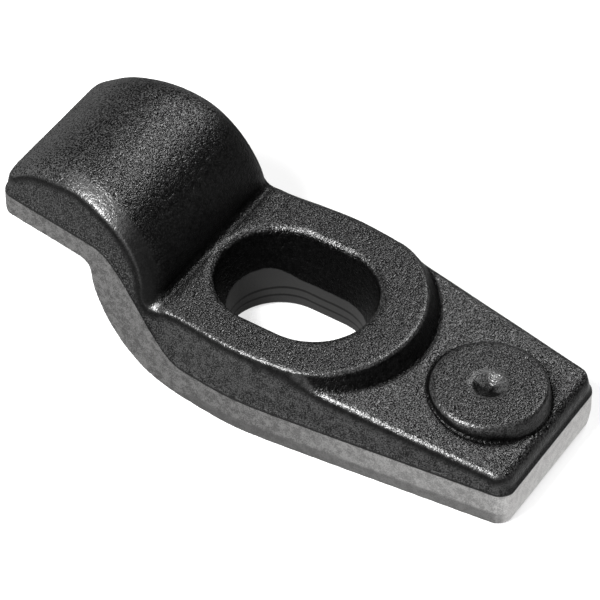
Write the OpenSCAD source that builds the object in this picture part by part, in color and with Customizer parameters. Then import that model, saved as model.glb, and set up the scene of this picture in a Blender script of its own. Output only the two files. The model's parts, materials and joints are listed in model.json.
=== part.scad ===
// Gooseneck strap clamp: one drop-forged piece that holds work down on a machine table.
// The stud passes up through the slot and its nut bears on the platform. The raised nose
// presses on the work, and the heel rests on a block. Millimetres, +Z up. The length lies
// along Y, nose towards +Y, and the origin is the slot's centre on the base plane.

/* [Body] */
// Overall length, from the nose end to the heel end
length = 150; // [140:1:170]
// Greatest width, at the parting line beside the slot
body_w = 61; // [58:0.5:70]
// Width at the nose end and at the heel end, before the corners are rounded
end_w = 44.6; // [40:0.2:50]
// Height of the flat platform that the nut and washer bear on
platform_h = 26; // [24:0.5:30]
// Radius of the platform's rounded end, at its top
platform_r = 28.4; // [27.5:0.1:29.5]
// Height of the heel's sloping top at the heel end
heel_h = 16.2; // [14:0.1:18]
// Fall of the heel's top towards the heel end, in degrees
heel_fall = 6.7; // [5:0.1:8]

/* [Gooseneck] */
// Distance from the slot's centre to the neck's upright face
neck_y = 25.3; // [24.5:0.1:27]
// Radius of the rounded crown
crown_r = 26.3; // [24:0.1:28]
// Slope of the nose's top at its front, in degrees below level
nose_fall = 36; // [30:1:40]
// Height of the nose's flat underside
nose_under_h = 30.2; // [29:0.1:33]
// Radius of the curve under the neck
belly_r = 29; // [27:0.1:30]
// Radius of the fillet where the neck meets the platform
neck_fillet_r = 2.3; // [1:0.1:2.5]

/* [Stud slot] */
// Width of the slot at its trimmed land
slot_w = 27.2; // [25:0.1:28]
// End-to-end length of the slot at its trimmed land
slot_l = 37.2; // [35:0.1:39]
// Widening of the slot from the land up to the platform, on each side
slot_flare = 2.8; // [1.5:0.1:3]
// Bevel round the slot's rim
rim_bevel = 1.3; // [0.5:0.1:1.5]

/* [Heel pad] */
// Distance from the slot's centre to the pad's centre
pad_y = 56.3; // [54:0.1:57]
// Radius of the round pad at its top
pad_r = 14.8; // [13:0.1:15]
// Height of the pad's level top
pad_h = 21.7; // [21:0.1:23]
// Radius of the conical dimple in the pad's centre
dimple_r = 4.6; // [3:0.1:6]

/* [Forging] */
// Height of the parting line round the body and heel
part_h = 10.9; // [9:0.1:12]
// Height of the parting line round the nose
nose_part_h = 36.7; // [35:0.1:38]
// Width of the trimmed band below the parting line
band_h = 6.5; // [5:0.1:7]
// Draft of the walls above the trimmed band, in degrees
upper_draft = 9.5; // [7:0.5:10]
// Draft of the walls below the trimmed band, in degrees
lower_draft = 7; // [3:0.5:9]
// Radius of the nose's corners in plan
nose_corner_r = 4; // [2:0.5:8]
// Radius of the heel's corners in plan
heel_corner_r = 4; // [3:0.5:8]

/* [Hidden] */
$fn = 128;

forged_black = [0.16, 0.16, 0.165];
end_y = length / 2;
top_h = platform_h + crown_r;
crown_y = neck_y + crown_r;
belly_y = 16;                       // where the base starts to curve up under the neck
belly_end_y = belly_y + belly_r;
shoulder_blend = 6.6;               // softness of the widest point of the outline
neck_part_y = [15.8, 43.5];         // the parting line climbs the neck between these
draft_fade = 12;                    // the lower draft eases over this length of the neck
nose_draft_share = 0.1;             // down to this share of it, which the nose keeps
fillet_steps = 8;
cone_drill_angle = 30;              // the dimple's flank below level
margin = 4;                         // overlap of the cutting and trimming shapes
land_h = [5, part_h];               // the slot is straight between these heights
foot_flare = 0.7;                   // widening of the slot from the land to the base
slot_half_gap = (slot_l - slot_w) / 2;
platform_centre_y = -5.4;
platform_foot_flare = 0.62;         // how far the platform's end wall spreads for each mm down
// The heel's top rises to the platform's level at heel_line_y. Where that would lie beyond the
// neck, the top stops inside the platform's block instead.
heel_line_y = (platform_h - heel_h) / tan(heel_fall) - end_y;
heel_meets = heel_line_y < belly_y - 1;
heel_stop_y = heel_meets ? heel_line_y : belly_y - 1;
heel_stop_h = heel_meets ? platform_h : heel_h + (heel_stop_y + end_y) * tan(heel_fall);

function blend(t) = let (c = min(max(t, 0), 1)) c * c * (3 - 2 * c);

// Height of the parting line at a place along the length
function part_z(y) =
    part_h + (nose_part_h - part_h)
        * blend((y - neck_part_y[0]) / (neck_part_y[1] - neck_part_y[0]));

// Half the width at the parting line, before the corners are rounded
function outline_w(y) =
    let (far = sqrt(end_y ^ 2 + shoulder_blend ^ 2) - shoulder_blend,
         here = sqrt(y ^ 2 + shoulder_blend ^ 2) - shoulder_blend)
    body_w / 2 - (body_w - end_w) / 2 * here / far;

// How far a rounded corner of radius r draws in at a distance d from its end
function corner_in(d, r) = d >= r ? 0 : r - sqrt(r ^ 2 - (r - d) ^ 2);

function half_w(y) =
    outline_w(y) - corner_in(end_y - y, nose_corner_r) - corner_in(end_y + y, heel_corner_r);

// Places along the length where the outline is worked out: close together at the corners
corner_steps = 8;
function corner_places(r) = [for (i = [0 : corner_steps]) r * (1 - cos(90 * i / corner_steps))];
stations = concat(
    [for (d = corner_places(heel_corner_r)) d - end_y],
    [for (y = [-63 : 7 : 14]) y],
    [for (y = [18 : 2.5 : 43]) y],
    [for (y = [46 : 8 : 62]) y],
    [for (i = [corner_steps : -1 : 0]) end_y - corner_places(nose_corner_r)[i]]);

// The draft below the trimmed band, which eases where the base curves up under the neck
function foot_draft(y) =
    lower_draft * (1 - (1 - nose_draft_share) * blend((y - belly_y) / draft_fade));

// One side of the cross-section at y, from below the base to above the crown
function side_points(y) =
    let (w = half_w(y), z = part_z(y), low = z - band_h)
    [[w - (low + margin) * tan(foot_draft(y)), -margin],
     [w, low],
     [w, z],
     [w - (top_h + margin - z) * tan(upper_draft), top_h + margin]];

function ring(y) =
    let (side = side_points(y))
    concat([for (p = side) [p[0], y, p[1]]],
           [for (i = [len(side) - 1 : -1 : 0]) [-side[i][0], y, side[i][1]]]);

// Every wall that the dies and the trimming tool leave, before the top and base are cut
module drafted_blank() {
    rings = [for (y = stations) ring(y)];
    n = len(rings[0]);
    last = (len(rings) - 1) * n;
    polyhedron(
        points = [for (r = rings) for (p = r) p],
        faces = concat(
            [[for (i = [n - 1 : -1 : 0]) i]],
            [for (s = [0 : len(rings) - 2]) for (i = [0 : n - 1])
                [s * n + i, s * n + (i + 1) % n, (s + 1) * n + (i + 1) % n, (s + 1) * n + i]],
            [[for (i = [0 : n - 1]) last + i]]));
}

// An end wall's drafted outline: a point for its foot, its ridge and its top
function end_line(sign, z_foot, z_ridge, z_top) =
    [[sign * (end_y - 0.6), z_foot],
     [sign * (end_y + 0.6), z_ridge],
     [sign * (end_y - (z_top - z_ridge - band_h / 2) * tan(upper_draft)), z_top]];

// The body and the heel from the side, below the platform and the heel's sloping top
module body_profile() {
    polygon(concat(
        [[belly_y, 0], [belly_y, heel_stop_h], [heel_stop_y, heel_stop_h]],
        [for (i = [2 : -1 : 0]) end_line(-1, 0, part_h - band_h / 2, heel_h)[i]]));
}

// The neck from the side, below the platform's level: inside the curve under it
module neck_profile() {
    intersection() {
        translate([belly_y, belly_r]) circle(belly_r);
        translate([belly_y - 1, 0]) square([belly_r + 2, platform_h]);
    }
}

// The fillet from the side: an arc that touches the platform and the crown's arc, closed through
// the metal behind it
module neck_fillet_profile() {
    reach = crown_r + neck_fillet_r;
    centre_y = crown_y - sqrt(reach ^ 2 - neck_fillet_r ^ 2);
    last = -asin(neck_fillet_r / reach);
    arc = [for (i = [0 : fillet_steps])
        let (angle = -90 + (last + 90) * i / fillet_steps)
        [centre_y + neck_fillet_r * cos(angle), platform_h + neck_fillet_r * (1 + sin(angle))]];
    polygon(concat(arc, [[neck_y + neck_fillet_r, platform_h + neck_fillet_r],
        [neck_y + neck_fillet_r, platform_h - 1], [centre_y, platform_h - 1]]));
}

// The nose from the side: inside the crown's arc, and below the straight slope that leaves it
module nose_profile() {
    slope_y = crown_y + crown_r * sin(nose_fall);
    slope_z = platform_h + crown_r * cos(nose_fall);
    tip_z = slope_z - (end_y - slope_y) * tan(nose_fall);
    intersection() {
        translate([crown_y, platform_h]) circle(crown_r);
        polygon([[neck_y - 1, platform_h], [belly_end_y, platform_h], [belly_end_y, nose_under_h],
            [slope_y, nose_under_h], [slope_y, top_h + 1], [neck_y - 1, top_h + 1]]);
    }
    polygon(concat([[crown_y, nose_under_h], [crown_y, slope_z], [slope_y, slope_z]],
        [for (i = [2 : -1 : 0]) end_line(1, nose_under_h, nose_part_h - band_h / 2, tip_z)[i]]));
}

// The platform's level top and rounded end, whose wall spreads down onto the heel
module platform() {
    wall_h = platform_h - part_h;
    translate([0, platform_centre_y, part_h])
        cylinder(h = wall_h, r1 = platform_r + wall_h * platform_foot_flare, r2 = platform_r);
    translate([-body_w / 2, platform_centre_y, 0]) cube([body_w, belly_y - platform_centre_y, platform_h]);
}

module side_shape() {
    rotate([90, 0, 90]) linear_extrude(height = body_w + margin, center = true) {
        body_profile();
        neck_profile();
        neck_fillet_profile();
        nose_profile();
    }
}

// A slot that widens from r1 at z = 0 to r2 at z = h
module flared_slot(h, r1, r2) {
    for (side = [-1, 1]) translate([0, side * slot_half_gap, 0]) cylinder(h = h, r1 = r1, r2 = r2);
    rotate([90, 0, 0]) linear_extrude(height = 2 * slot_half_gap, center = true)
        polygon([[-r1, 0], [r1, 0], [r2, h], [-r2, h]]);
}

module stud_slot() {
    land_r = slot_w / 2;
    top_r = land_r + slot_flare;
    flare_h = platform_h - rim_bevel - land_h[1];
    translate([0, 0, land_h[0]]) flared_slot(land_h[1] - land_h[0], land_r, land_r);
    flared_slot(land_h[0], land_r + foot_flare, land_r);
    translate([0, 0, land_h[1]]) flared_slot(flare_h, land_r, top_r);
    translate([0, 0, platform_h - rim_bevel]) flared_slot(rim_bevel, top_r, top_r + rim_bevel);
    translate([0, 0, platform_h]) flared_slot(margin, top_r + rim_bevel, top_r + rim_bevel);
    translate([0, 0, -margin]) flared_slot(margin, land_r + foot_flare, land_r + foot_flare);
}

// A round pad on the heel, with a drafted wall
module heel_pad() {
    translate([0, -pad_y, part_h])
        cylinder(h = pad_h - part_h, r1 = pad_r + (pad_h - part_h) * tan(upper_draft), r2 = pad_r);
}

module dimple() {
    depth = dimple_r * tan(cone_drill_angle);
    translate([0, -pad_y, pad_h - depth]) cylinder(h = depth, r1 = 0, r2 = dimple_r);
    translate([0, -pad_y, pad_h]) cylinder(h = margin, r = dimple_r);
}

module clamp_body() {
    color(forged_black) difference() {
        union() {
            intersection() {
                drafted_blank();
                union() {
                    side_shape();
                    platform();
                }
            }
            heel_pad();
        }
        stud_slot();
        dimple();
    }
}

clamp_body();
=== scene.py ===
"""Gooseneck strap clamp: the looks of one drop forging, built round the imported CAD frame.

The forging's skin is worked out as a smooth solid, in millimetres, from the same dimensions as
the CAD part, with the edge roundings, fillets and trimmed parting line that the part leaves out.
"""

import json
import math
from types import SimpleNamespace

import bmesh
import bpy
import numpy as np
from mathutils import Matrix, Vector


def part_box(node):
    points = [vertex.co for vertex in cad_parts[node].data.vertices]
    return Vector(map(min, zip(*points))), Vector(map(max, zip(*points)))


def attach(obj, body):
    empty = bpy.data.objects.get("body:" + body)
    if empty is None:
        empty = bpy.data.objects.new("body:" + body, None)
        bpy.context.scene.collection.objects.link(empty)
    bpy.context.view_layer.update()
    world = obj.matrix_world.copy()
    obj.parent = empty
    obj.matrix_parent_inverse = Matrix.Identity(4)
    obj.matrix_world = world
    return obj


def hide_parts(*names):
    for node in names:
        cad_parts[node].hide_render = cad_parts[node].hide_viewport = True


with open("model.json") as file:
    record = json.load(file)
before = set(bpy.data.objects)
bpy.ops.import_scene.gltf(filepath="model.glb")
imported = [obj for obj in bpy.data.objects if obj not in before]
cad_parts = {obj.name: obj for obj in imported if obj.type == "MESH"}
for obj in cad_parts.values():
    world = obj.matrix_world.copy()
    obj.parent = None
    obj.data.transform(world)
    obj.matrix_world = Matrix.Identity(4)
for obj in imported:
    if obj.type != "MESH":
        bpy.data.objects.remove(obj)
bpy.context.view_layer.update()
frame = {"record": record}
MM = 0.001

# ---------------------------------------------------------------- dimensions, in millimetres
BOX_LOW, BOX_HIGH = (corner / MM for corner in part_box("clamp_body"))
MOUNTS = {m["name"]: m for m in frame["record"]["mounts"]}
END_Y = BOX_HIGH.y
HALF_W = BOX_HIGH.x
PLATFORM_Z = MOUNTS["platform_seat"]["pos_m"][2] / MM
CROWN_R = BOX_HIGH.z - PLATFORM_Z
NOSE_UNDER_Z = MOUNTS["nose_contact"]["pos_m"][2] / MM
LAND_R = MOUNTS["stud_slot"]["dims"]["hole_r_mm"]
SLOT_HALF_GAP = MOUNTS["stud_slot"]["dims"]["slot_length_mm"] / 2 - LAND_R

END_HALF_W = 22.3            # half the width at the nose end and at the heel end
SHOULDER_BLEND = 6.6         # softness of the outline's widest point
PLATFORM_CENTRE_Y = -5.4
PLATFORM_R = 28.4            # at the platform's top
PLATFORM_FOOT_FLARE = 0.62   # how far its end wall spreads for each millimetre down
HEEL_Z = 16.2                # the heel's top at the heel end
HEEL_FALL = math.radians(6.7)
NECK_Y = 25.3
CROWN_Y = NECK_Y + CROWN_R
NOSE_FALL = math.radians(36)
BELLY_Y = 16                 # where the base starts to curve up under the neck
BELLY_R = 29
PAD_Y = -56.3
PAD_R = 14.8
PAD_Z = 21.7
DIMPLE_R = 4.6
DIMPLE_SLOPE = math.radians(30)
DIMPLE_TIP = 0.1             # square millimetres that round its tip
PART_Z = 10.9                # height of the parting line round the body
NOSE_PART_Z = 36.7           # and round the nose
NECK_PART_Y = (15.8, 43.5)   # it climbs the neck between these
BAND_H = 6.5                 # width of the trimmed band below it
UPPER_DRAFT = math.tan(math.radians(9.5))
LOWER_DRAFT = math.tan(math.radians(7))
DRAFT_FADE = 12              # the lower draft eases over this length of the neck
NOSE_DRAFT_SHARE = 0.1       # down to this share of it
SLOT_FLARE = 2.8             # widening of the slot up to its rim, on each side
FOOT_FLARE = 0.7             # and down to the base
LAND_LOW = 5
LAND_RISE = 4                # the slot's land climbs this much at its nose end
LAND_RISE_Y = (6, 16)        # between these
RIM_H = 1.3

# Roundings
CORNER_R = 4
OUTLINE_R = 0.3              # blend between the walls and their rounded corners
PLATFORM_START_Y = (-26, -14)       # from the heel's roundings to the platform's
CROWN_START_Y = (21, 30)            # and from the platform's to the crown's
SHOULDER_SLOPE = math.radians(40)   # of the worn shoulder along the top edges
SHOULDER_R = 3.5             # blend between the top and the shoulder on the crown
HEEL_SHOULDER = 0.75         # how much the shoulder takes off the sharp edge
PLATFORM_SHOULDER = 0.5
CROWN_SHOULDER = 2.6
FAR_SHARE = 0.45             # the far side's shoulder is smaller
FAR_X = (0, 10)              # and changes over this part of the width
NOSE_SHARE = 0.3             # so is the shoulder at the nose end
NOSE_Y = (57, 69)            # where it narrows
WALL_EDGE_R = 0.8            # blend between the shoulder and the wall
NOSE_EDGE_R = 1.2            # blend between the top and the nose end
HEEL_EDGE_R = 2.8            # and the heel end
PLATFORM_EDGE_R = 0.6
BASE_EDGE_R = 0.6
RIM_R = 2.2
PAD_EDGE_R = 1.2
PAD_FOOT_R = 0.6
PLATFORM_FOOT_R = 0.5
NECK_FILLET_R = 1.8
UNDER_NOSE_R = 3.0
DIMPLE_EDGE_R = 0.4
KINK = 0.5                   # softness of the bends between the drafted walls and the band
PART_STEP = 0.25             # the band stands proud of the upper wall by this much
PART_STEP_RUN = 0.9

GRID = 0.6                   # spacing of the skin's mesh
WAVE = 0.09                  # depth of the forging's unevenness
BASE_WAVE_SHARE = 0.2        # the base is flatter
BASE_WAVE_Z = (1, 4)         # up to these heights

# Marks for the material
# gaps at which nearby metal adds painted shade
SHADE_GAPS = (2.5, 5, 10)  # how far off other metal is felt
BEND_REACH = 0.7             # how far around a point its bend is measured


# ---------------------------------------------------------------- the forging as a smooth solid
def fade(value, none, full):
    """Changes smoothly from 0, where the value is none, to 1, where it is full."""
    t = np.clip((value - none) / (full - none), 0, 1)
    return t * t * (3 - 2 * t)


def ramp(t, soft=KINK):
    """Zero below 0 and t above it, with the bend between them softened."""
    return np.where(t > soft, t, np.where(t < -soft, 0, (t + soft) ** 2 / (4 * soft)))


def meet(a, b, r):
    """What is inside both a and b, with the edge between them rounded to r."""
    return np.minimum(-r, np.maximum(a, b)) + np.hypot(np.maximum(r + a, 0), np.maximum(r + b, 0))


def join(a, b, r):
    """What is inside either a or b, with a fillet of radius r between them."""
    return np.maximum(r, np.minimum(a, b)) - np.hypot(np.maximum(r - a, 0), np.maximum(r - b, 0))


def parting(y):
    """Height of the parting line."""
    return PART_Z + (NOSE_PART_Z - PART_Z) * fade(y, *NECK_PART_Y)


def outline(y):
    """Half the width at the parting line."""
    far = math.hypot(END_Y, SHOULDER_BLEND) - SHOULDER_BLEND
    here = np.hypot(y, SHOULDER_BLEND) - SHOULDER_BLEND
    return HALF_W - (HALF_W - END_HALF_W) * here / far


def wall_inset(z, part, foot_draft):
    """How far a wall lies inside the trimmed band at height z."""
    upper = ramp(z - part) * UPPER_DRAFT + PART_STEP * fade(z - part, 0, PART_STEP_RUN)
    return upper + ramp(part - BAND_H - z) * foot_draft


def side_walls(x, y, z):
    easing = (1 - NOSE_DRAFT_SHARE) * fade(y - BELLY_Y, 0, DRAFT_FADE)
    foot_draft = LOWER_DRAFT * (1 - easing)
    return np.abs(x) - outline(y) + wall_inset(z, parting(y), foot_draft)


def end_walls(y, z):
    heel_end = -y - END_Y + wall_inset(z, PART_Z, LOWER_DRAFT)
    nose_end = y - END_Y + wall_inset(z, NOSE_PART_Z, LOWER_DRAFT)
    return np.maximum(heel_end, nose_end)


def platform_end(x, y, z):
    from_centre = y - PLATFORM_CENTRE_Y
    wall_r = PLATFORM_R + PLATFORM_FOOT_FLARE * (PLATFORM_Z - z) + np.maximum(from_centre, 0)
    return (np.hypot(x, np.minimum(from_centre, 0)) - wall_r) / math.hypot(1, PLATFORM_FOOT_FLARE)


def heel_pad(x, y, z):
    wall = np.hypot(x, y - PAD_Y) - PAD_R - (PAD_Z - z) * UPPER_DRAFT
    return meet(z - PAD_Z, wall, PAD_EDGE_R)


def dimple(x, y, z):
    floor_z = PAD_Z - DIMPLE_R * math.tan(DIMPLE_SLOPE)
    radius = np.sqrt(x ** 2 + (y - PAD_Y) ** 2 + DIMPLE_TIP)
    return radius * math.sin(DIMPLE_SLOPE) - (z - floor_z) * math.cos(DIMPLE_SLOPE)


def gooseneck(y, z):
    """Inside the crown's arc, and below the straight slope that leaves it."""
    s, c = math.sin(NOSE_FALL), math.cos(NOSE_FALL)
    dy, dz = y - CROWN_Y - CROWN_R * s, z - PLATFORM_Z - CROWN_R * c
    arc = np.hypot(y - CROWN_Y, z - PLATFORM_Z) - CROWN_R
    return np.where(dy * c - dz * s > 0, dy * s + dz * c, arc)


def upper_side(x, y, z):
    """Below the heel's top, the platform, the pad with its dimple, and the gooseneck."""
    heel = (z - HEEL_Z - (y + END_Y) * math.tan(HEEL_FALL)) * math.cos(HEEL_FALL)
    heel = np.maximum(heel, y - PLATFORM_CENTRE_Y)
    platform = meet(z - PLATFORM_Z, platform_end(x, y, z), PLATFORM_EDGE_R)
    body = join(heel, platform, PLATFORM_FOOT_R)
    body = join(body, heel_pad(x, y, z), PAD_FOOT_R)
    body = meet(body, -dimple(x, y, z), DIMPLE_EDGE_R)
    return join(body, gooseneck(y, z), NECK_FILLET_R)


def under_side(y, z):
    """Above the base, inside the curve under the neck, and above the nose's underside."""
    base = np.hypot(np.maximum(y - BELLY_Y, 0), np.minimum(z - BELLY_R, 0)) - BELLY_R
    return join(base, NOSE_UNDER_Z - z, UNDER_NOSE_R)


def land_top(y):
    """Height where the slot's straight land ends and its flare starts."""
    return PART_Z + LAND_RISE * fade(y, *LAND_RISE_Y)


def slot(x, y, z):
    top = land_top(y)
    flare = SLOT_FLARE / (PLATFORM_Z - RIM_H - top)
    radius = LAND_R + ramp(z - top) * flare + ramp(LAND_LOW - z) * FOOT_FLARE / LAND_LOW
    return np.hypot(x, np.maximum(np.abs(y) - SLOT_HALF_GAP, 0)) - radius


WAVES = 28
LONGEST_WAVE, SHORTEST_WAVE = 26, 3.2
WAVE_STEEPNESS = 4           # how far the crossing waves are pushed to hollow or swelling
random = np.random.default_rng(7)
wave_way = random.normal(size=(WAVES, 3))
wave_way /= np.linalg.norm(wave_way, axis=1)[:, None]
wave_length = np.geomspace(LONGEST_WAVE, SHORTEST_WAVE, WAVES)
wave_shift = random.uniform(0, 2 * math.pi, WAVES)
wave_height = wave_length ** 0.7


def unevenness(x, y, z):
    """Gentle hollows and swellings from 0 to 1, from crossing waves of many lengths."""
    total = np.zeros_like(x)
    for way, length, shift, height in zip(wave_way, wave_length, wave_shift, wave_height):
        k = 2 * math.pi / length
        total += np.sin(k * (way[0] * x + way[1] * y + way[2] * z) + shift) * height
    return 0.5 + 0.5 * np.tanh(total / np.sum(wave_height) * WAVE_STEEPNESS)


def along(y, heel, platform, crown):
    """A value that changes smoothly from the heel to the platform and on to the crown."""
    value = heel + (platform - heel) * fade(y, *PLATFORM_START_Y)
    return value + (crown - platform) * fade(y, *CROWN_START_Y)


def shoulder_slope(top, wall, x, y):
    """The sloping face along the edge between the top and a side wall."""
    cut = along(y, HEEL_SHOULDER, PLATFORM_SHOULDER, CROWN_SHOULDER)
    cut = cut * (1 - (1 - NOSE_SHARE) * fade(y, *NOSE_Y)) * (1 - (1 - FAR_SHARE) * fade(x, *FAR_X))
    return top * math.cos(SHOULDER_SLOPE) + wall * math.sin(SHOULDER_SLOPE) + cut


def metal(x, y, z):
    """The forging: below zero inside it, and about the distance to its skin near it."""
    top, side, ends = upper_side(x, y, z), side_walls(x, y, z), end_walls(y, z)
    shoulder_r = along(y, WALL_EDGE_R, WALL_EDGE_R, SHOULDER_R)
    top = meet(top, shoulder_slope(top, side, x, y), shoulder_r)
    end_edge_r = along(y, HEEL_EDGE_R, HEEL_EDGE_R, NOSE_EDGE_R)
    solid = np.maximum(meet(top, side, WALL_EDGE_R), meet(top, ends, end_edge_r))
    solid = meet(solid, meet(side, ends, CORNER_R), OUTLINE_R)
    solid = meet(solid, under_side(y, z), BASE_EDGE_R)
    return meet(solid, -slot(x, y, z), RIM_R)


def skin(x, y, z):
    depth = BASE_WAVE_SHARE + (1 - BASE_WAVE_SHARE) * fade(z, *BASE_WAVE_Z)
    return metal(x, y, z) + WAVE * unevenness(x, y, z) * depth


# ---------------------------------------------------------------- the solid's skin as a mesh
def gradient(field, p, reach=0.02):
    """The field's slope at each point. On the surface it points straight outwards."""
    steps = np.eye(3) * reach
    return np.stack([field(*(p + s).T) - field(*(p - s).T) for s in steps], 1) / (2 * reach)


def onto_surface(field, p, rounds):
    """Moves each point along the slope to where the field is zero."""
    for _ in range(rounds):
        g = gradient(field, p)
        p = p - g * (field(*p.T) / np.maximum((g * g).sum(1), 0.2))[:, None]
    return p


CORNERS = [(i, j, k) for i in (0, 1) for j in (0, 1) for k in (0, 1)]


def part_of(grid, offset, shape):
    """The block of a grid that starts at the offset."""
    return grid[tuple(slice(o, o + n) for o, n in zip(offset, shape))]


def surface_net(field):
    """One vertex in each grid cell that the surface passes through, and a quad across each
    grid edge that it cuts."""
    margin = 2.5 * GRID
    low, high = np.array(BOX_LOW) - margin, np.array(BOX_HIGH) + margin
    count = np.ceil((high - low) / GRID).astype(int) + 1
    axes = [low[i] + GRID * np.arange(count[i]) for i in range(3)]
    values = np.stack([field(*np.meshgrid(x, axes[1], axes[2], indexing="ij")).squeeze(0)
                       for x in axes[0][:, None]])
    inside = values < 0
    cells = count - 1
    filled = sum(part_of(inside, c, cells).astype(np.int8) for c in CORNERS)
    active = (filled > 0) & (filled < 8)
    number = np.full(cells, -1)
    number[active] = np.arange(active.sum())
    total, hits = np.zeros((active.sum(), 3)), np.zeros(active.sum())
    for a in CORNERS:
        for axis in range(3):
            if a[axis]:
                continue
            b = tuple(v + (i == axis) for i, v in enumerate(a))
            va, vb = part_of(values, a, cells)[active], part_of(values, b, cells)[active]
            cut = (va < 0) != (vb < 0)
            t = va[cut] / (va[cut] - vb[cut])
            total[cut] += np.array(a) + t[:, None] * (np.array(b) - np.array(a))
            hits[cut] += 1
    points = low + GRID * (np.argwhere(active) + total / hits[:, None])
    quads = []
    for axis in range(3):
        u, v = (axis + 1) % 3, (axis + 2) % 3
        step, su, sv = np.eye(3, dtype=int)[[axis, u, v]]
        near, far = part_of(inside, (0, 0, 0), count - step), part_of(inside, step, count - step)
        for sign, cut in ((1, near & ~far), (-1, ~near & far)):
            at = np.argwhere(cut)
            ring = [number[tuple((at - o).T)] for o in (0 * su, su, su + sv, sv)][::sign]
            quads.append(np.stack(ring, 1))
    return points, np.concatenate(quads)


def relax(field, points, quads, rounds=4):
    """Evens out the quads, and puts the vertices back on the surface each time."""
    edges = np.concatenate([quads[:, [i, (i + 1) % 4]] for i in range(4)])
    n = len(points)
    links = np.bincount(edges[:, 0], minlength=n) + np.bincount(edges[:, 1], minlength=n)
    for _ in range(rounds):
        total = np.stack([
            np.bincount(edges[:, 0], points[edges[:, 1], i], n)
            + np.bincount(edges[:, 1], points[edges[:, 0], i], n) for i in range(3)], 1)
        points = onto_surface(field, 0.5 * points + 0.5 * total / links[:, None], 2)
    return points


def forging_mesh():
    points, quads = surface_net(skin)
    points = onto_surface(skin, points, 3)
    points = relax(skin, points, quads)
    mesh = bpy.data.meshes.new("forging")
    mesh.vertices.add(len(points))
    mesh.vertices.foreach_set("co", (points * MM).astype(np.float32).ravel())
    mesh.loops.add(quads.size)
    mesh.loops.foreach_set("vertex_index", quads.astype(np.int32).ravel())
    mesh.polygons.add(len(quads))
    mesh.polygons.foreach_set("loop_start", np.arange(0, quads.size, 4, dtype=np.int32))
    mesh.update(calc_edges=True)
    mesh.polygons.foreach_set("use_smooth", np.ones(len(quads), bool))
    normals = gradient(skin, points, reach=0.05)
    normals /= np.linalg.norm(normals, axis=1)[:, None]
    mark(mesh, points, normals)
    mesh.normals_split_custom_set_from_vertices(normals.astype(np.float32))
    return mesh


class Skin:
    """The skin's points and outward normals, and where they lie on the forging."""

    def __init__(self, points, normals):
        self.points, self.normals = points, normals
        self.x, self.y, self.z = points.T
        self.nx, self.ny, self.nz = normals.T
        self.top = upper_side(self.x, self.y, self.z)
        self.side = side_walls(self.x, self.y, self.z)
        self.slope = shoulder_slope(self.top, self.side, self.x, self.y)
        self.slot = slot(self.x, self.y, self.z)
        self.in_slot = np.abs(self.slot) < 0.4
        self.outer_wall = fade(np.abs(self.nz), 0.75, 0.45) * (~self.in_slot)
        self.from_pad = np.hypot(self.x, self.y - PAD_Y)
        self.in_dimple = fade(self.from_pad, DIMPLE_R + 0.2, DIMPLE_R - 0.4) * (self.z > PART_Z)


def bending(s):
    """Above zero on an edge that bends outwards, and below zero in a hollow."""
    around = sum(metal(*(s.points + step).T) + metal(*(s.points - step).T)
                 for step in np.eye(3) * BEND_REACH)
    return (around - 6 * metal(*s.points.T)) / BEND_REACH ** 2


def edge_marks(s):
    """Edges that wear has smoothed and paled, with painted highlights on the pad's rim and the
    dimple's far wall, painted light on the nose top, the dimple and the crown's shoulder, and a
    painted shade line below the shoulder.
    """
    shoulder = fade(s.slope - s.top, -0.5, 0.7) * fade(s.slope - s.side, -0.6, 0.6)
    shoulder *= fade(s.y, 60, 50)
    on_crown = fade(s.y, 24, 32)
    slot_rim = fade(np.minimum(-s.slot, s.top), -1.7, -0.7)
    pad_rim = fade(np.abs(s.from_pad - PAD_R + 0.2), 1.0, 0.3) * fade(s.z - PAD_Z, -1.6, -0.8)
    # the dimple's far wall, which gets a painted highlight
    far_in_dimple = s.in_dimple * fade(-s.nx, 0.1, 0.35)
    # painted light on the nose's top
    nose_top = fade(s.y, 55, 70) * fade(s.nz, 0.5, 0.8)
    return {
        "bend": bending(s),
        # edges with wear, and painted highlights on the pad's rim and the dimple's far wall
        "wear_and_painted_highlight": np.max([shoulder * (1 - 0.4 * on_crown), 0.3 * slot_rim, 0.45 * pad_rim,
                             0.4 * far_in_dimple], axis=0),
        # painted shade: a dark line on the wall below the shoulder
        "painted_shade_line": fade(s.slope, -2.2, -0.6) * fade(-s.slope, 0, 0.5) * s.outer_wall,
        # painted light: paler on the nose top, the whole dimple and the crown's shoulder
        "pale": np.max([nose_top, 2 * s.in_dimple, 1.2 * shoulder * on_crown], axis=0),
    }


def painted_recess_shade(s):
    """Painted shade: darker near other metal, and on faces that look into a recess, towards the
    slot, the pad and the heel end, and on the dimple's near wall.
    """
    near = np.zeros(len(s.points))
    for gap in SHADE_GAPS:
        off = metal(*(s.points + gap * s.normals).T)
        near += np.clip(1 - off / gap, 0, 1) / len(SHADE_GAPS)
    above_fillet = fade(s.z - PLATFORM_Z, 1, 9)
    facing_slot = fade(-s.ny - 0.25 * above_fillet, 0.05, 0.45) * fade(s.y, 20, 24)
    facing_pad = fade(np.abs(platform_end(s.x, s.y, s.z)), 0.6, 0.2)
    facing_pad *= fade(PLATFORM_Z - s.z, 0.3, 0.9) * fade(-s.side, 0.3, 1.1)
    at_heel_end = fade(-s.ny, 0.25, 0.75) * fade(END_Y + s.y, 8, 4)
    # painted shade on the dimple's near wall
    near_in_dimple = s.in_dimple * fade(s.nx, -0.02, 0.23)
    return np.max([near, 0.35 * facing_slot, 0.42 * facing_pad, 0.2 * at_heel_end,
                   0.5 * near_in_dimple], axis=0)


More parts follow.
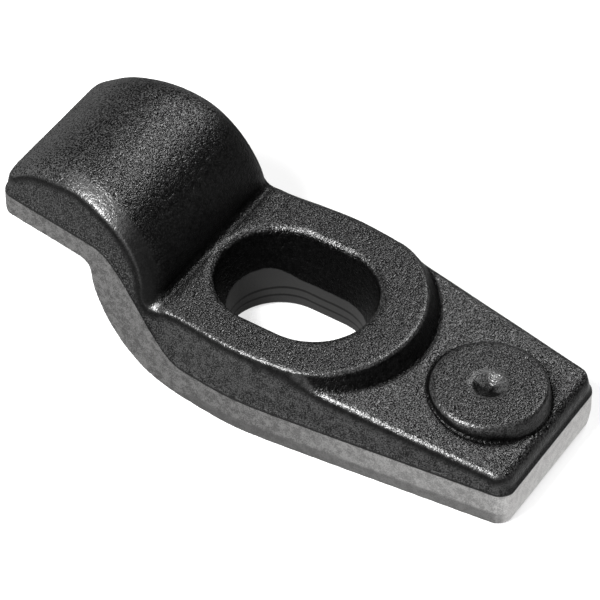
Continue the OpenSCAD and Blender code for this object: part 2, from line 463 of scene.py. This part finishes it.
def wall_marks(s):
    """Heights from the trimmed band's boundaries in millimetres, and which wall a point is on."""
    part = parting(s.y)
    off_the_base = 30 * fade(s.y - BELLY_Y, -4, 10)     # the foot is darker only along the base
    at_heel_end = fade(-s.ny, 0.62, 0.92) * (s.y < PAD_Y)
    return {
        "over_part": s.z - part,
        "under_band": part - BAND_H - s.z - off_the_base,
        "land": land_top(s.y) - s.z,
        "towards_heel": fade(s.y, 10, -60),
        "slot_wall": s.in_slot.astype(float),
        "outer_wall": s.outer_wall,
        # painted light: the body's walls, more towards the heel, are made paler
        "body_wall": s.outer_wall * (0.25 + 0.55 * fade(s.y, 26, 14)),
        # the heel end's band, which the material paints near white as painted light
        "heel_end": at_heel_end * fade(s.z, PART_Z + 2, PART_Z + 1),
    }


def mark(mesh, points, normals):
    """Stores the values on the skin that the material reads."""
    s = Skin(points, normals)
    for name, value in {**wall_marks(s), **edge_marks(s), "painted_recess_shade": painted_recess_shade(s)}.items():
        values = mesh.attributes.new(name, "FLOAT", "POINT").data
        values.foreach_set("value", value.astype(np.float32))


# ---------------------------------------------------------------- materials
class Nodes:
    """Short ways to add and join shader nodes."""

    def __init__(self, name):
        self.material = bpy.data.materials.new(name)
        self.material.use_nodes = True
        self.tree = self.material.node_tree
        self.tree.nodes.clear()
        self.shader = self.add("ShaderNodeBsdfPrincipled")
        out = self.add("ShaderNodeOutputMaterial")
        self.tree.links.new(self.shader.outputs[0], out.inputs["Surface"])
        self.coords = self.add("ShaderNodeTexCoord").outputs["Object"]

    def add(self, kind, **settings):
        node = self.tree.nodes.new(kind)
        for name, value in settings.items():
            setattr(node, name, value)
        return node

    def put(self, node, socket, value):
        if isinstance(value, bpy.types.NodeSocket):
            self.tree.links.new(value, node.inputs[socket])
        else:
            node.inputs[socket].default_value = value

    def math(self, operation, *values):
        node = self.add("ShaderNodeMath", operation=operation)
        for i, value in enumerate(values):
            self.put(node, i, value)
        return node.outputs[0]

    def attribute(self, name):
        return self.add("ShaderNodeAttribute", attribute_name=name).outputs["Fac"]

    def noise(self, size_mm, detail, rough=0.5):
        node = self.add("ShaderNodeTexNoise")
        self.put(node, "Vector", self.coords)
        self.put(node, "Scale", 1 / (size_mm * MM))
        self.put(node, "Detail", detail)
        self.put(node, "Roughness", rough)
        return node.outputs["Fac"]

    def ring(self, *heights_mm, sway=0.4):
        """Millimetres from the nearest of some levels, which wander up and down by the sway."""
        apart = self.add("ShaderNodeSeparateXYZ")
        self.put(apart, 0, self.coords)
        wander = self.math("MULTIPLY", self.noise(9, 1), 2 * sway)
        z = self.math("MULTIPLY_ADD", apart.outputs[2], 1 / MM, wander)
        gaps = [self.math("ABSOLUTE", self.math("SUBTRACT", z, h + sway)) for h in heights_mm]
        return self.math("MINIMUM", *gaps)

    def most(self, *values):
        result = values[0]
        for value in values[1:]:
            result = self.math("MAXIMUM", result, value)
        return result

    def times(self, *values):
        result = values[0]
        for value in values[1:]:
            result = self.math("MULTIPLY", result, value)
        return result

    def spread(self, value, low, high, to_low=0.0, to_high=1.0):
        """Changes smoothly from to_low, where the value is low, to to_high, where it is high."""
        node = self.add("ShaderNodeMapRange", interpolation_type="SMOOTHSTEP")
        for i, v in enumerate((value, low, high, to_low, to_high)):
            self.put(node, i, v)
        return node.outputs[0]

    def mix(self, share, a, b):
        """A colour between a and b."""
        node = self.add("ShaderNodeMix", data_type="RGBA")
        self.put(node, 0, share)
        self.put(node, 6, a)
        self.put(node, 7, b)
        return node.outputs[2]

    def blend(self, share, a, b):
        """A value between a and b."""
        node = self.add("ShaderNodeMix", data_type="FLOAT")
        self.put(node, 0, share)
        self.put(node, 2, a)
        self.put(node, 3, b)
        return node.outputs[0]


def grey(value, warm=0.0):
    """A grey of this brightness, shifted a little from blue to red."""
    return (value * (1 + warm), value, value * (1 - warm), 1)


def steel(value):
    return grey(value, warm=0.01)


def grain_patterns(n):
    """Noises from the finest grain of the scale up to its cloudy patches."""
    return SimpleNamespace(
        grain=n.noise(0.36, 0),
        coarse=n.noise(1.1, 1),
        mottle=n.spread(n.noise(2.2, 3, 0.6), 0.33, 0.67),
        cloud=n.noise(11, 3),
        ragged=n.math("MULTIPLY_ADD", n.noise(1.2, 2), 0.5, -0.25))


def forging_shares(n, p):
    """How much of each kind of surface there is at a point, and how much painted shade and painted
    highlight, from 0 to 1.
    """
    outer_wall, slot_wall = n.attribute("outer_wall"), n.attribute("slot_wall")
    over_part, land = n.attribute("over_part"), n.attribute("land")
    bend = n.attribute("bend")
    band = n.times(n.spread(n.math("ADD", over_part, p.ragged), 0.12, -0.12), outer_wall)
    punched = n.times(n.spread(n.math("ADD", land, p.ragged), -0.2, 0.2), slot_wall)
    off_line = n.math("ABSOLUTE", n.math("SUBTRACT", over_part, 0.15))
    # wear on edges, with the painted highlights of the edge marks
    wear_and_highlight = n.most(n.times(n.spread(bend, 0.15, 0.9), 0.6), n.attribute("wear_and_painted_highlight"))
    pit = n.times(n.spread(p.grain, 0.48, 0.36), n.spread(wear_and_highlight, 0, 1, 1, 0.3),
                  n.spread(outer_wall, 0, 1, 1, 0.6))
    # painted shade: in hollows, near other metal and in recesses, on the slot's upper wall, and in
    # the line below the shoulder
    painted_shade = n.most(n.spread(bend, -0.1, -0.6),
                  n.spread(n.attribute("painted_recess_shade"), 0.06, 0.5),
                  n.times(slot_wall, n.spread(land, 0.2, -0.2)),
                  n.times(n.attribute("painted_shade_line"), 0.8))
    return SimpleNamespace(trimmed=n.most(band, punched), wear_and_highlight=wear_and_highlight, pit=pit, painted_shade=painted_shade,
                           part_line=n.times(n.spread(off_line, 0.4, 0.15), outer_wall))


def black_scale(n, p, share):
    """The scale's colour: dark, with pale specks and black pits, paler on edges with wear, paler
    still with painted light and painted highlights, and near black with painted shade.
    """
    # painted light: the body's walls paler, more towards the heel, and the places of the pale mark
    body_wall = n.times(n.attribute("body_wall"), n.spread(p.mottle, 0, 1, 0.2, 1.1))
    pale = n.most(n.times(n.attribute("pale"), 0.8), body_wall)
    patches = n.math("MULTIPLY_ADD", p.mottle, 0.7, n.times(p.cloud, 0.3))
    colour = n.mix(patches, grey(0.003), grey(0.013))
    colour = n.mix(pale, colour, grey(0.033))
    colour = n.mix(n.times(n.spread(p.grain, 0.54, 0.68), 0.7), colour, grey(0.045))
    colour = n.mix(n.times(share.pit, 0.8), colour, grey(0.002))
    # paler on edges with wear, and painted highlight on the pad's rim and the dimple's far wall
    colour = n.mix(n.times(share.wear_and_highlight, 0.3), colour, grey(0.03))
    # painted shade: near black
    return n.mix(n.times(share.painted_shade, 0.9), colour, grey(0.002))


def bare_steel(n, p):
    """The steel that trimming and punching lay bare: paler towards the heel, painted near white on
    its end as painted light, darker near the base, and scored by two rings in the slot."""
    mixed = n.math("MULTIPLY_ADD", p.mottle, 0.3, n.times(p.grain, 0.7))
    mixed = n.spread(mixed, 0.25, 0.75)
    by_nose = n.mix(mixed, steel(0.15), steel(0.34))
    by_heel = n.mix(mixed, steel(0.4), steel(0.66))
    colour = n.mix(n.times(n.attribute("towards_heel"), 0.9), by_nose, by_heel)
    below = n.spread(n.math("ADD", n.attribute("under_band"), p.ragged), -0.6, 0.6)
    colour = n.mix(n.times(below, 0.6), colour, steel(0.17))
    rings = n.ring(LAND_LOW - 0.3, LAND_LOW + 2.4)
    in_slot = n.mix(n.spread(rings, 0.2, 0.55), steel(0.03), steel(0.085))
    colour = n.mix(n.attribute("slot_wall"), colour, in_slot)
    # painted light: the heel end's bare steel near white
    heel_end = n.mix(mixed, steel(0.82), steel(1))
    return n.mix(n.times(n.attribute("heel_end"), 0.9), colour, heel_end)


def relief(n, p, share):
    """The orange-peel grain, smoothed on edges with wear and painted highlight, and on trimmed
    steel.
    """
    height = n.math("MULTIPLY_ADD", p.coarse, 0.7, n.times(p.grain, 0.4))
    height = n.blend(n.times(share.wear_and_highlight, 0.75), height, n.times(p.coarse, 0.15))
    height = n.blend(share.trimmed, height, n.times(height, 0.12))
    bump = n.add("ShaderNodeBump")
    n.put(bump, "Strength", 1.0)
    n.put(bump, "Distance", 0.36 * MM)
    n.put(bump, "Height", height)
    return bump.outputs[0]


def scale_material():
    n = Nodes("forging_scale")
    p = grain_patterns(n)
    share = forging_shares(n, p)
    colour = n.mix(share.trimmed, black_scale(n, p, share), bare_steel(n, p))
    colour = n.mix(n.times(share.part_line, 0.85), colour, grey(0.006))
    # painted shade also dulls the reflection, and so do the pits
    dull = n.times(n.most(share.painted_shade, share.pit), 0.75)
    rough = n.blend(n.times(share.wear_and_highlight, 0.7), n.spread(p.coarse, 0.3, 0.7, 0.3, 0.44), 0.3)
    rough = n.blend(share.trimmed, rough, 0.45)
    n.put(n.shader, "Base Color", colour)
    n.put(n.shader, "Metallic", n.most(n.times(share.trimmed, 0.85), dull))
    n.put(n.shader, "Roughness", n.blend(n.attribute("heel_end"), rough, 0.75))
    n.put(n.shader, "Specular IOR Level", 0.4)
    n.put(n.shader, "Normal", relief(n, p, share))
    return n.material


def stage_material(name, colour, glow):
    n = Nodes(name)
    n.put(n.shader, "Base Color", grey(colour))
    n.put(n.shader, "Roughness", 0.9)
    n.put(n.shader, "Specular IOR Level", 0.0)
    n.put(n.shader, "Emission Color", grey(1))
    n.put(n.shader, "Emission Strength", glow)
    return n.material


# ---------------------------------------------------------------- pieces
def forging():
    piece = bpy.data.objects.new("forging", forging_mesh())
    bpy.context.scene.collection.objects.link(piece)
    piece.data.materials.append(scale_material())
    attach(piece, "root")
    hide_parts("clamp_body")


def staged(name, add_shape, colour, glow, height=0.0):
    """A piece of the stage, which isn't part of the object."""
    mesh = bpy.data.meshes.new(name)
    shape = bmesh.new()
    add_shape(shape)
    bmesh.ops.translate(shape, vec=(0, 0, height), verts=shape.verts)
    shape.to_mesh(mesh)
    shape.free()
    piece = bpy.data.objects.new(name, mesh)
    bpy.context.scene.collection.objects.link(piece)
    piece.data.materials.append(stage_material(name, colour, glow))
    return piece


TABLE_RADIUS = 0.8           # in metres from here on
SURROUND_RADIUS = 4
CARD_CENTRE = (0.03, -0.111, 0)
CARD_WIDTH, CARD_DEPTH = 0.14, 0.078


def disc(shape):
    bmesh.ops.create_circle(shape, cap_ends=True, segments=96, radius=TABLE_RADIUS)


def globe(shape):
    bmesh.ops.create_uvsphere(shape, u_segments=48, v_segments=24, radius=SURROUND_RADIUS)


def card(shape):
    place = Matrix.Translation(CARD_CENTRE) @ Matrix.Diagonal((CARD_WIDTH, CARD_DEPTH, 1, 1))
    bmesh.ops.create_grid(shape, size=0.5, matrix=place)


def stage():
    """A pale table top and surround that only the camera sees, and just below them a darker
    table top and a bright card by the heel end, which only light the forging."""
    floor = staged("floor", disc, colour=0.35, glow=0.72)
    surround = staged("surround", globe, colour=0, glow=0.97)
    for piece in (floor, surround):
        piece.visible_diffuse = piece.visible_glossy = piece.visible_shadow = False
    bounce = staged("bounce", disc, colour=0.05, glow=0.16, height=-0.1 * MM)
    heel_card = staged("card", card, colour=0, glow=0.8, height=-0.05 * MM)
    for piece in (bounce, heel_card):
        piece.visible_camera = False


# ---------------------------------------------------------------- camera and light
CAMERA_AZIMUTH = math.radians(-57.2)
CAMERA_ELEVATION = math.radians(45.96)
CAMERA_DISTANCE = 0.94487
CAMERA_AIM = Vector((0.00013, -0.00092, 0.02002))
SENSOR_MM, LENS_MM = 36, 225.7


def camera():
    level = math.cos(CAMERA_ELEVATION)
    back = Vector((math.sin(CAMERA_AZIMUTH) * level, -math.cos(CAMERA_AZIMUTH) * level,
                   math.sin(CAMERA_ELEVATION)))
    right = Vector((math.cos(CAMERA_AZIMUTH), math.sin(CAMERA_AZIMUTH), 0))
    turn = Matrix((right, back.cross(right), back)).transposed().to_4x4()
    data = bpy.data.cameras.new("camera")
    data.sensor_width = SENSOR_MM
    data.lens = LENS_MM
    item = bpy.data.objects.new("camera", data)
    item.matrix_world = Matrix.Translation(CAMERA_AIM + back * CAMERA_DISTANCE) @ turn
    bpy.context.scene.collection.objects.link(item)
    bpy.context.scene.camera = item


def softbox(name, towards, distance, size, power):
    """A round lamp that shines on the origin."""
    data = bpy.data.lights.new(name, "AREA")
    data.shape = "DISK"
    data.size = size
    data.energy = power
    item = bpy.data.objects.new(name, data)
    towards = Vector(towards).normalized()
    turn = towards.to_track_quat("Z", "Y").to_matrix().to_4x4()
    item.matrix_world = Matrix.Translation(towards * distance) @ turn
    bpy.context.scene.collection.objects.link(item)


def light():
    """Distances and sizes are in metres, and powers in watts."""
    softbox("key", (-0.59, 0.14, 0.80), distance=0.5, size=0.17, power=7.6)
    softbox("back", (0.57, -0.08, 0.82), distance=1.2, size=0.3, power=9.5)
    world = bpy.data.worlds.new("studio")
    world.use_nodes = True
    background = world.node_tree.nodes["Background"]
    background.inputs["Color"].default_value = grey(1)
    background.inputs["Strength"].default_value = 0.015
    bpy.context.scene.world = world
    bpy.context.scene.view_settings.view_transform = "Standard"


camera()
light()
stage()
forging()
